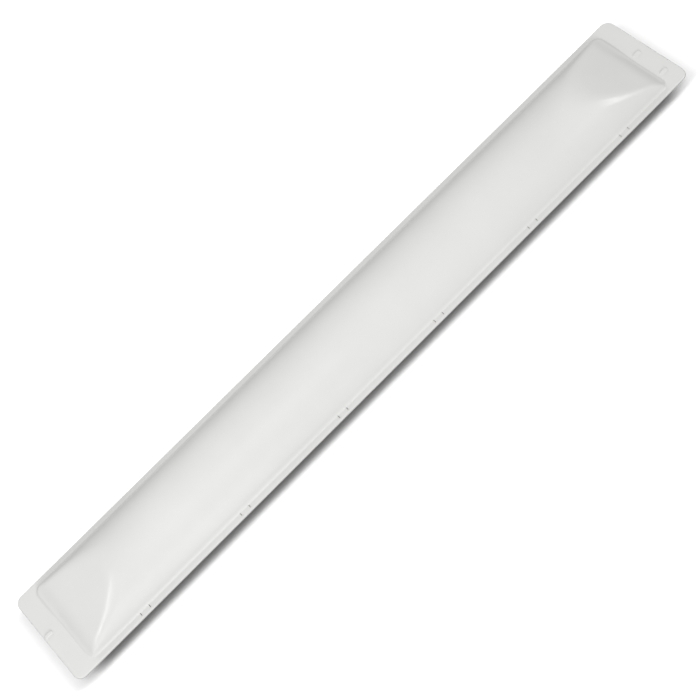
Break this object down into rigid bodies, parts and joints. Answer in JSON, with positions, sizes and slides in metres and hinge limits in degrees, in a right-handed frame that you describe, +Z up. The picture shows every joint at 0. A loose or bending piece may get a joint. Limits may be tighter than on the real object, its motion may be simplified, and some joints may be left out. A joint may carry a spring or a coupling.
{
  "type": "slide rule",
  "caption": "Slide rule in its closed clamshell case: a white vaulted lid on a hinged tray, with a wood and celluloid rule and a glass cursor inside.",
  "frame": {"origin": "middle of the closed case's footprint, on the surface it lies on", "axes": "+X along the case to its right-hand end, +Y to the hinged edge, +Z up"},
  "size_m": [0.3124, 0.0414, 0.0212],
  "materials": {
    "case_plastic": "gloss",
    "mahogany": "satin",
    "celluloid": "satin",
    "aluminium": "satin",
    "steel": "polished",
    "brass": "satin",
    "spring_brass": "satin",
    "glass": "polished"
  },
  "bodies": {
    "case": {"base_tray": "case_plastic", "hinge_pins": "steel", "upper_stock": "mahogany", "lower_stock": "mahogany", "back_strip": "aluminium", "well_strip": "celluloid", "back_pins": "brass", "adjusting_screws": "brass", "upper_facing": "celluloid", "lower_facing": "celluloid", "ruler_edge_facing": "celluloid"},
    "lid": {"lid_shell": "case_plastic"},
    "slide": {"slide_core": "mahogany", "slide_facing": "celluloid", "slide_back_facing": "celluloid"},
    "cursor": {"cursor_rail_far": "aluminium", "cursor_rail_near": "aluminium", "cursor_glass": "glass", "cursor_screws": "steel", "cursor_spring": "spring_brass"}
  },
  "joints": [
    {"name": "lid_hinge", "type": "hinge", "parent": "case", "child": "lid", "pos_m": [0, 0.0192, 0.0073], "axis": [-1, 0, 0], "range_deg": [0, 150]},
    {"name": "slide_travel", "type": "slide", "parent": "case", "child": "slide", "axis": [1, 0, 0], "range_m": [-0.0045, 0.0045]},
    {"name": "cursor_travel", "type": "slide", "parent": "case", "child": "cursor", "axis": [1, 0, 0], "range_m": [-0.124, 0.124]}
  ]
}
